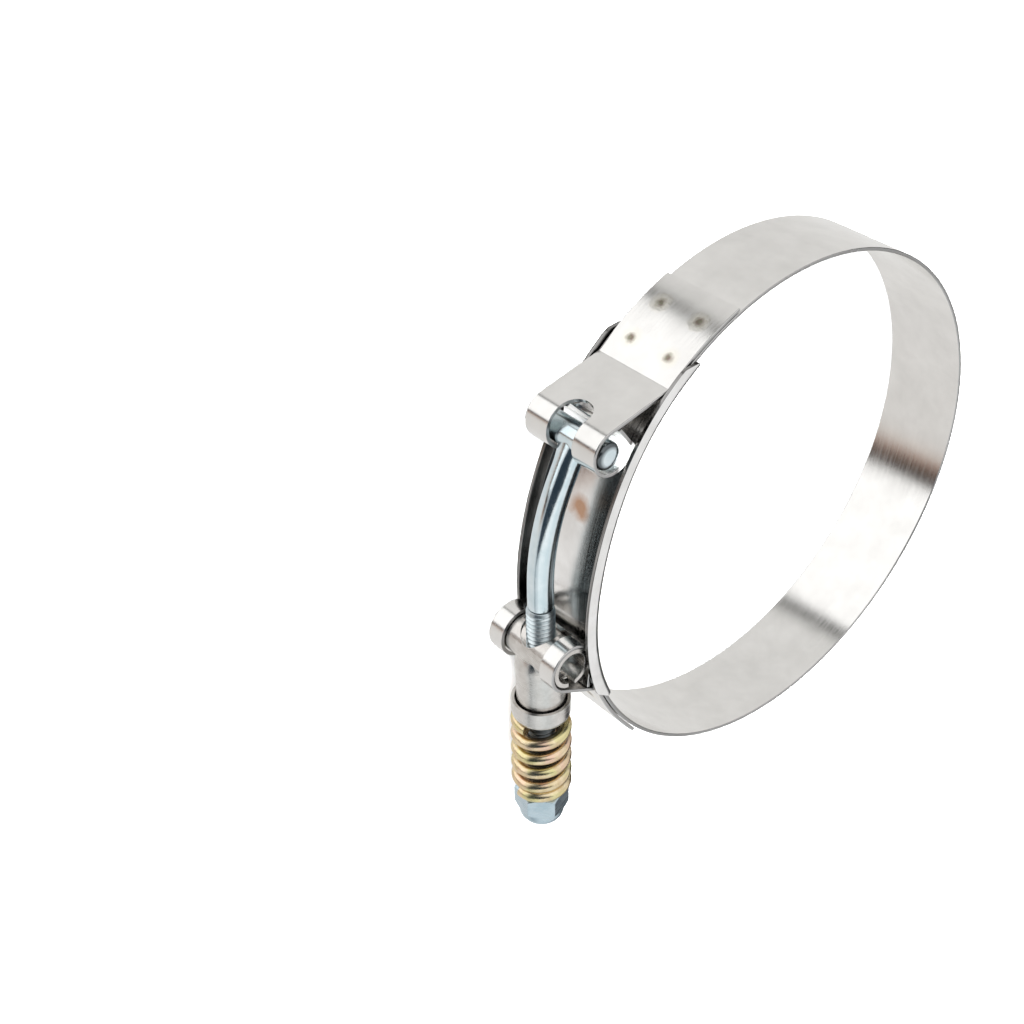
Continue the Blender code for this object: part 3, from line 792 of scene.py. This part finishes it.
# %% Group the weld marks
STRAP_OUTSIDE = 57.7 * MM
WELD_ARC, HALF_ROW_GAP, HALF_PAIR_GAP = 45.0, 4.53, 5.0
weld_marks, taken, given = start_group(
    "weld_marks", [("Spread", FLOAT, 1.0)],
    [("Core", FLOAT), ("Halo", FLOAT), ("Dent", FLOAT)])
apart = parts_of(weld_marks, places_from(weld_marks, ring_centre))
toward_gap = maths(weld_marks, "MULTIPLY", apart[1], -1.0)
side = maths(weld_marks, "ARCTAN2", apart[0], toward_gap)
side = maths(weld_marks, "ABSOLUTE", side)
arc = maths(weld_marks, "MULTIPLY", side, STRAP_OUTSIDE / MM)
row = maths(weld_marks, "ABSOLUTE", maths(weld_marks, "SUBTRACT", arc, WELD_ARC))
row = maths(weld_marks, "SUBTRACT", row, HALF_ROW_GAP)
across = maths(weld_marks, "ABSOLUTE", maths(weld_marks, "MULTIPLY", apart[2], 1 / MM))
across = maths(weld_marks, "SUBTRACT", across, HALF_PAIR_GAP)
square = maths(weld_marks, "MULTIPLY", across, across)
square = maths(weld_marks, "MULTIPLY_ADD", row, row, square)
wobble = noise(weld_marks, object_places(weld_marks), scale=900.0, detail=3.0)
wobble = maths(weld_marks, "MULTIPLY_ADD", wobble, 1.1, -0.55)
reach = maths(weld_marks, "ADD", maths(weld_marks, "SQRT", square), wobble)
reach = maths(weld_marks, "DIVIDE", reach, taken["Spread"])
for mask, whole, gone in (("Core", 0.4, 1.4), ("Halo", 1.2, 2.7), ("Dent", 0.5, 2.2)):
    weld_marks.links.new(between(weld_marks, reach, whole, gone, 1.0, 0.0), given[mask])
print("weld_marks:", len(weld_marks.nodes), "nodes")

# %% [markdown]
# ## Inside the folded strap
#
# The inner leaf behind the T-head is painted bright and matt, as a painted
# reflection of the light that falls into the loop. A second material on those faces could
# give that, but the leaf runs on into the strap with no edge between. So a mask
# finds it by place: near the band's outside, and beside the gap.

# %% Group the hidden leaf
inner_leaf, taken, given = start_group(
    "inner_leaf", [("Reach", FLOAT, 58.4 * MM)], [("Mask", FLOAT)])
apart = parts_of(inner_leaf, places_from(inner_leaf, ring_centre))
near_band = maths(inner_leaf, "SUBTRACT", taken["Reach"], from_axis(inner_leaf, apart))
near_band = between(inner_leaf, near_band, -0.5 * MM, 0.5 * MM)
side = maths(inner_leaf, "ARCTAN2", maths(inner_leaf, "MULTIPLY", apart[0], -1.0),
             maths(inner_leaf, "MULTIPLY", apart[1], -1.0))
in_gap = between(inner_leaf, side, 0.50, 0.56, 1.0, 0.0)
in_gap = maths(inner_leaf, "MULTIPLY", in_gap, between(inner_leaf, side, 0.0, 0.05))
inner_leaf.links.new(maths(inner_leaf, "MULTIPLY", near_band, in_gap), given["Mask"])
print("inner_leaf:", len(inner_leaf.nodes), "nodes")

# %% [markdown]
# ## Drawn and turned surfaces
#
# The bolt, its nut and the parts round it are drawn or turned, so their fine lines
# follow the bolt's own axis. In the model's axes the lines would lie askew. So the
# group turns the places into the bolt's axes, then stretches them by three numbers:
# long lines for drawing, rings for turning.

# %% Group the drawing lines
drawn_lines, taken, given = start_group(
    "drawn_lines", [("Stretch", VECTOR, (60.0, 3000.0, 3000.0))],
    [("Lines", FLOAT), ("Along", FLOAT)])
turned_places = add(
    drawn_lines, "ShaderNodeVectorRotate",
    {"Vector": places_from(drawn_lines, trunnion_axis), "Angle": -bolt_turn},
    rotation_type="Z_AXIS").outputs[0]
stretched = vector_maths(drawn_lines, "MULTIPLY", turned_places, taken["Stretch"])
lines = noise(drawn_lines, stretched, scale=1.0, detail=4.0, rough=0.6)
along = maths(drawn_lines, "MULTIPLY", parts_of(drawn_lines, turned_places)[0], 1 / MM)
drawn_lines.links.new(lines, given["Lines"])
drawn_lines.links.new(along, given["Along"])
print("drawn_lines:", len(drawn_lines.nodes), "nodes")

# %% [markdown]
# ## Cloudy plating
#
# Zinc plating is passivated in a bath, which leaves soft clouds of slightly
# different tint, with fine specks where the crystals are coarser. One flat colour
# would look like paint. Two noises of very different size give clouds and specks,
# and each metal places the group with its own pair of tints.

# %% Group the plating
plating, taken, given = start_group(
    "plating", [("Light", COLOR, (1, 1, 1, 1)), ("Deep", COLOR, (0, 0, 0, 1)),
                ("Patches", FLOAT, 300.0)],
    [("Color", COLOR), ("Clouds", FLOAT), ("Specks", FLOAT)])
places = object_places(plating)
clouds = noise(plating, places, taken["Patches"], detail=4.0, rough=0.6)
clouds = between(plating, clouds, 0.34, 0.68)
specks = between(plating, noise(plating, places, scale=4200.0), 0.35, 0.75)
shade = maths(plating, "MULTIPLY_ADD", specks, 0.18, clouds)
tint = blend_colors(plating, shade, taken["Light"], taken["Deep"])
plating.links.new(tint, given["Color"])
plating.links.new(clouds, given["Clouds"])
plating.links.new(specks, given["Specks"])
print("plating:", len(plating.nodes), "nodes")

# %% [markdown]
# ## Eased edges
#
# No stamped or turned edge is knife-sharp. Real bevels could be cut on every piece,
# but they would multiply its triangles. A bevelled normal lets each edge catch the
# light as if it were rounded by a tenth of a millimetre, and where it differs from
# the face's own normal, handling has burnished the metal.

# %% Group the eased edges
EDGE_RADIUS = 0.12 * MM
eased_edges, taken, given = start_group(
    "eased_edges", [("Radius", FLOAT, EDGE_RADIUS)],
    [("Normal", VECTOR), ("Edge", FLOAT)])
bevel = add(eased_edges, "ShaderNodeBevel", {"Radius": taken["Radius"]}, samples=4)
plain = eased_edges.nodes.new("ShaderNodeNewGeometry").outputs["Normal"]
meet = add(eased_edges, "ShaderNodeVectorMath", {0: bevel.outputs[0], 1: plain},
           operation="DOT_PRODUCT").outputs["Value"]
eased_edges.links.new(bevel.outputs[0], given["Normal"])
eased_edges.links.new(between(eased_edges, meet, 0.8, 0.99, 1.0, 0.0), given["Edge"])
print("eased_edges:", len(eased_edges.nodes), "nodes")

# %% [markdown]
# ## From effects to a metal
#
# Every metal here ends alike: its colour is a little lighter on worn edges, and its
# height becomes a shallow bump over the eased normal. Each material could repeat
# that. One helper does it instead, so that a finish only says what is its own.

# %% Finish a metal with a height and eased edges
WORN_EDGE = (0.86, 0.86, 0.86, 1.0)


def dress(piece, made):
    piece.data.materials.clear()
    piece.data.materials.append(made)


def upward(tree):
    """How far a face looks up, from -1 to 1."""
    return parts_of(tree, tree.nodes.new("ShaderNodeNewGeometry").outputs["Normal"])[2]


def finish_metal(tree, shader, color, roughness, height, depth, radius=EDGE_RADIUS):
    """Join colour, roughness and a bump over eased edges to a metal's shader."""
    edges = use_group(tree, eased_edges, {"Radius": radius})
    bump = add(tree, "ShaderNodeBump", {"Height": height, "Normal": edges["Normal"],
                                        "Strength": 0.6, "Distance": depth})
    lighter = maths(tree, "MULTIPLY", edges["Edge"], 0.15)
    color = blend_colors(tree, lighter, color, WORN_EDGE)
    tree.links.new(color, shader.inputs["Base Color"])
    tree.links.new(roughness, shader.inputs["Roughness"])
    tree.links.new(bump.outputs[0], shader.inputs["Normal"])


print("metal helpers are ready")

# %% [markdown]
# ## Stainless strip
#
# The band and straps are satin stainless strip with a warm grey cast. Its slit
# edges are rougher and darker than its faces, and the straps carry the spot welds.
# The edges could be picked face by face for a second material. But with the ring
# lying flat, they are just the faces that look up or down, so the normal finds them.

# %% Mix the strip's finish
WARM_STEEL, COOL_STEEL = (0.80, 0.79, 0.77), (0.72, 0.71, 0.69)
STRAW_RING, LEAF_PAINTED_REFLECTION = (0.80, 0.73, 0.52, 1.0), (0.95, 0.95, 0.94, 1.0)
BURNT_GREEN, BURNT_BROWN = (0.20, 0.19, 0.13, 1.0), (0.17, 0.115, 0.09, 1.0)


def weld_finish(tree, color, rough, height):
    """Lay the spot welds over a strap's colour, roughness and height."""
    marks = use_group(tree, weld_marks)
    halo = maths(tree, "MULTIPLY", marks["Halo"], 0.26)
    color = blend_colors(tree, halo, color, STRAW_RING)
    burnt = noise(tree, object_places(tree), scale=950.0, detail=3.0)
    burnt = between(tree, burnt, 0.42, 0.58)
    burnt = blend_colors(tree, burnt, BURNT_GREEN, BURNT_BROWN)
    color = blend_colors(tree, maths(tree, "MULTIPLY", marks["Core"], 0.9), color, burnt)
    rough = maths(tree, "MULTIPLY_ADD", marks["Dent"], 0.06, rough)
    return color, rough, maths(tree, "MULTIPLY_ADD", marks["Dent"], -4.0, height)


def strip_material(name, cut, roughness, welds):
    """Rolled stainless strip, with or without the spot welds of a strap."""
    made, tree, shader = new_material(name, WARM_STEEL, roughness, 1.0)
    strip = use_group(tree, rolled_strip)
    shade = between(tree, strip["Clouds"], 0.3, 0.72)
    color = blend_colors(tree, shade, (*WARM_STEEL, 1.0), (*COOL_STEEL, 1.0))
    rough = between(tree, strip["Lines"], 0.25, 0.75, roughness - 0.04, roughness + 0.05)
    height = strip["Height"]
    slit = between(tree, maths(tree, "ABSOLUTE", upward(tree)), 0.6, 0.8)
    color = blend_colors(tree, slit, color, (*cut, 1.0))
    rough = maths(tree, "MULTIPLY_ADD", slit, 0.14, rough)
    if welds:
        color, rough, height = weld_finish(tree, color, rough, height)
        # Painted reflection: the hidden inner leaf is made matt white so that it shows bright.
        hidden = use_group(tree, inner_leaf)["Mask"]
        color = blend_colors(tree, hidden, color, LEAF_PAINTED_REFLECTION)
        rough = maths(tree, "MULTIPLY_ADD", hidden, 0.42, rough)
        metal = maths(tree, "MULTIPLY_ADD", hidden, -0.85, 1.0)
        tree.links.new(metal, shader.inputs["Metallic"])
    finish_metal(tree, shader, color, rough, height, 0.012 * MM)
    return made


print("strip finish is ready")

# %% Finish the band and the straps
BAND_CUT, STRAP_CUT = (0.34, 0.335, 0.33), (0.44, 0.435, 0.43)
dress(band, strip_material("band_strip", BAND_CUT, 0.135, False))
strap_strip = strip_material("strap_strip", STRAP_CUT, 0.17, True)
dress(head_loop, strap_strip)
dress(trunnion_loop, strap_strip)
print("strip materials on the band and two straps")

# %% [markdown]
# ## Bridge channel
#
# The bridge is bright strip that was bent to a channel. The inside of its flanges
# is painted dark as shade, and heat from the nearby welds left a faint copper cloud.
# Ambient occlusion could find the corners, but it is slow and follows every
# neighbour. The flanges lie at a known height and the cloud at a known place, so two
# distances find them, and the rolling lines break them up.

# %% Colour the bridge's steel
BRIDGE_LIGHT, BRIDGE_DEEP = (0.90, 0.895, 0.885, 1.0), (0.78, 0.77, 0.755, 1.0)
COPPER_HEAT = (0.50, 0.28, 0.16, 1.0)
HEAT_ANGLE, HEAT_RADIUS, HEAT_HEIGHT = math.radians(-95.8), 54.4 * MM, 0.9 * MM
bridge_steel, tree, shader = new_material("bridge_steel", (0.7, 0.69, 0.67), 0.2, 1.0)
strip = use_group(tree, rolled_strip, {"Fineness": 1.6})
shade = between(tree, strip["Clouds"], 0.35, 0.7)
color = blend_colors(tree, shade, BRIDGE_LIGHT, BRIDGE_DEEP)
heat_centre = ring_centre + unit(HEAT_ANGLE) * HEAT_RADIUS + Vector((0, 0, HEAT_HEIGHT))
from_heat = distance(tree, places_from(tree, heat_centre))
wander = noise(tree, object_places(tree), scale=260.0, detail=3.0)
wander = maths(tree, "MULTIPLY_ADD", wander, 4.0 * MM, from_heat)
heat = between(tree, wander, 2.9 * MM, 5.3 * MM, 0.9, 0.0)
color = blend_colors(tree, heat, color, COPPER_HEAT)
print("bridge heat mark at", [round(value / MM, 1) for value in heat_centre])

# %% Paint shade on the inside of the bridge's flanges
FLANGE_PAINTED_SHADE = (0.13, 0.125, 0.12, 1.0)
above_middle = parts_of(tree, places_from(tree, ring_centre))[2]
above_middle = maths(tree, "MULTIPLY", above_middle, 1 / MM)
flange = maths(tree, "ADD", between(tree, above_middle, 3.2, 5.2),
               between(tree, above_middle, -4.6, -7.4))
outward = maths(tree, "MULTIPLY", upward(tree), maths(tree, "SIGN", above_middle))
inside = maths(tree, "MULTIPLY", flange, between(tree, outward, 0.1, 0.6, 1.0, 0.0))
streak = between(tree, strip["Lines"], 0.35, 0.6, 0.55, 1.0)
# Painted shade: the inside of each flange is darkened, broken up by the rolling lines.
color = blend_colors(tree, maths(tree, "MULTIPLY", inside, streak), color, FLANGE_PAINTED_SHADE)
rough = between(tree, strip["Lines"], 0.25, 0.75, 0.13, 0.24)
finish_metal(tree, shader, color, rough, strip["Height"], 0.01 * MM)
dress(bridge, bridge_steel)
print("bridge finished:", len(tree.nodes), "nodes")

# %% [markdown]
# ## Trunnion and spring cup
#
# Both are pressed steel with a warm satin finish: soft clouds, and fine scratches
# that run round the axis. The strip's material would do, but its lines would run
# the wrong way. So the plating group gives the clouds, and the drawing group, with
# its stretch turned about, gives rings round the bolt.

# %% Finish the trunnion and the cup
SATIN_LIGHT, SATIN_DEEP = (0.72, 0.70, 0.67, 1.0), (0.60, 0.575, 0.545, 1.0)
satin_steel, tree, shader = new_material("satin_steel", (0.6, 0.57, 0.53), 0.3, 1.0)
finish = use_group(
    tree, plating, {"Light": SATIN_LIGHT, "Deep": SATIN_DEEP, "Patches": 420.0})
turning = use_group(tree, drawn_lines, {"Stretch": (2600.0, 90.0, 90.0)})
rough = between(tree, turning["Lines"], 0.25, 0.75, 0.19, 0.31)
height = maths(tree, "MULTIPLY_ADD", finish["Specks"], 0.5, turning["Lines"])
finish_metal(tree, shader, finish["Color"], rough, height, 0.014 * MM, 0.16 * MM)
dress(trunnion, satin_steel)
dress(cup, satin_steel)
print("trunnion and cup finished")

# %% [markdown]
# ## Blue zinc
#
# The bolt and nut are zinc plated with a clear blue passivation: a cold, bright
# metal whose tint deepens where the surface turns away. A clear coat could lie over
# a grey metal, but it would add a second, white reflection. A layer weight that
# shifts the metal's own colour keeps one. The thread is rougher than the shank. It
# is painted dark as shade under the spring, and so are the rims of the T-head's ends.

# %% Mask the darkened parts of the bolt


def dark_in_spring(tree):
    """Mask the thread under the spring, which is painted dark as the spring's shade."""
    along = use_group(tree, drawn_lines)["Along"]
    return maths(tree, "MULTIPLY", between(tree, along, 14.0, 16.0),
                 between(tree, along, 33.0, 36.0, 0.85, 0.0))


def dark_round_end(tree):
    """Mask the rim of the T-head's ends, which is painted dark as shade."""
    apart = parts_of(tree, places_from(tree, swivel))
    near_end = between(tree, maths(tree, "ABSOLUTE", apart[2]), 7.6 * MM, 8.4 * MM)
    rim = between(tree, from_axis(tree, apart), 1.5 * MM, 2.3 * MM, 0.0, 0.9)
    return maths(tree, "MULTIPLY", near_end, rim)


print("dark masks are ready")

# %% Finish the bolt and the nut
ZINC_AWAY, PAINTED_SHADE_DARK = (0.42, 0.56, 0.66, 1.0), (0.07, 0.075, 0.08, 1.0)


def zinc_material(name, light, deep, roughness, stretch, patches, dark):
    """Zinc plating over drawn steel, with painted shade where a mask says so."""
    made, tree, shader = new_material(name, light, roughness, 1.0)
    coat = use_group(tree, plating, {
        "Light": (*light, 1.0), "Deep": (*deep, 1.0), "Patches": patches})
    drawing = use_group(tree, drawn_lines, {"Stretch": stretch})
    away = add(tree, "ShaderNodeLayerWeight", {"Blend": 0.35}).outputs["Facing"]
    tint = maths(tree, "MULTIPLY", away, 0.45)
    color = blend_colors(tree, tint, coat["Color"], ZINC_AWAY)
    # Painted shade: where the mask says so, the colour goes to near black.
    if dark:
        color = blend_colors(tree, dark(tree), color, PAINTED_SHADE_DARK)
    rough = between(tree, drawing["Lines"], 0.25, 0.75, roughness - 0.04, roughness + 0.07)
    height = maths(tree, "MULTIPLY_ADD", coat["Specks"], 0.4, drawing["Lines"])
    finish_metal(tree, shader, color, rough, height, 0.01 * MM)
    return made


dress(shank, zinc_material("blue_zinc", (0.80, 0.87, 0.89), (0.66, 0.76, 0.79), 0.14,
                           (70.0, 3000.0, 3000.0), 260.0, dark_round_end))
dress(thread, zinc_material("thread_zinc", (0.76, 0.82, 0.84), (0.60, 0.68, 0.70), 0.30,
                            (900.0, 900.0, 900.0), 700.0, dark_in_spring))
dress(nut, zinc_material("nut_zinc", (0.59, 0.67, 0.71), (0.46, 0.56, 0.61), 0.27,
                         (1600.0, 200.0, 200.0), 380.0, None))
print("blue zinc on", shank.name + ",", thread.name, "and", nut.name)

# %% [markdown]
# ## Yellow zinc
#
# The spring is zinc plated with a yellow chromate. The thin film shifts between
# gold, straw green and rose over the coils, more so where they turn away. The
# shader's own thin film could be used, but its colours are hard to steer and don't
# bake. So one noise lays rose and green patches over the gold.

# %% Finish the spring
GOLD_LIGHT, GOLD_DEEP = (0.90, 0.77, 0.53, 1.0), (0.70, 0.56, 0.33, 1.0)
ROSE, STRAW_GREEN = (0.88, 0.60, 0.48, 1.0), (0.76, 0.74, 0.34, 1.0)
GOLD_AWAY = (0.62, 0.42, 0.22, 1.0)
yellow_zinc, tree, shader = new_material("yellow_zinc", (0.88, 0.7, 0.42), 0.2, 1.0)
coat = use_group(
    tree, plating, {"Light": GOLD_LIGHT, "Deep": GOLD_DEEP, "Patches": 520.0})
film = noise(tree, object_places(tree), scale=210.0)
color = blend_colors(tree, between(tree, film, 0.52, 0.66, 0.0, 0.7), coat["Color"], ROSE)
color = blend_colors(tree, between(tree, film, 0.44, 0.34, 0.0, 0.6), color, STRAW_GREEN)
away = add(tree, "ShaderNodeLayerWeight", {"Blend": 0.4}).outputs["Facing"]
color = blend_colors(tree, maths(tree, "MULTIPLY", away, 0.5), color, GOLD_AWAY)
drawing = use_group(tree, drawn_lines, {"Stretch": (1500.0, 260.0, 260.0)})
rough = between(tree, drawing["Lines"], 0.25, 0.75, 0.19, 0.31)
height = maths(tree, "MULTIPLY_ADD", coat["Specks"], 0.5, drawing["Lines"])
finish_metal(tree, shader, color, rough, height, 0.01 * MM)
dress(spring, yellow_zinc)
print("spring finished:", len(tree.nodes), "nodes")

# %% [markdown]
# ## Nylon ring
#
# The ring in the nut's collar grips the thread. It is moulded nylon, off-white,
# slightly cloudy, and scored where the thread has bitten into it. Nylon lets some
# light in, and subsurface scattering could show that, but on a ring this small it
# is hardly seen. Two close tints and a fine bump are enough.

# %% Finish the nylon ring
NYLON_LIGHT, NYLON_DEEP = (0.76, 0.74, 0.68, 1.0), (0.62, 0.59, 0.52, 1.0)
nylon, tree, shader = new_material("nylon", (0.72, 0.70, 0.64), 0.45)
places = object_places(tree)
clouds = between(tree, noise(tree, places, scale=700.0, detail=3.0), 0.3, 0.7)
tree.links.new(
    blend_colors(tree, clouds, NYLON_LIGHT, NYLON_DEEP), shader.inputs["Base Color"])
tree.links.new(between(tree, clouds, 0.0, 1.0, 0.38, 0.55), shader.inputs["Roughness"])
scores = noise(tree, places, scale=3500.0, detail=3.0)
bump = add(tree, "ShaderNodeBump",
           {"Height": scores, "Strength": 0.4, "Distance": 0.02 * MM})
tree.links.new(bump.outputs[0], shader.inputs["Normal"])
dress(insert, nylon)
print("nylon ring finished")
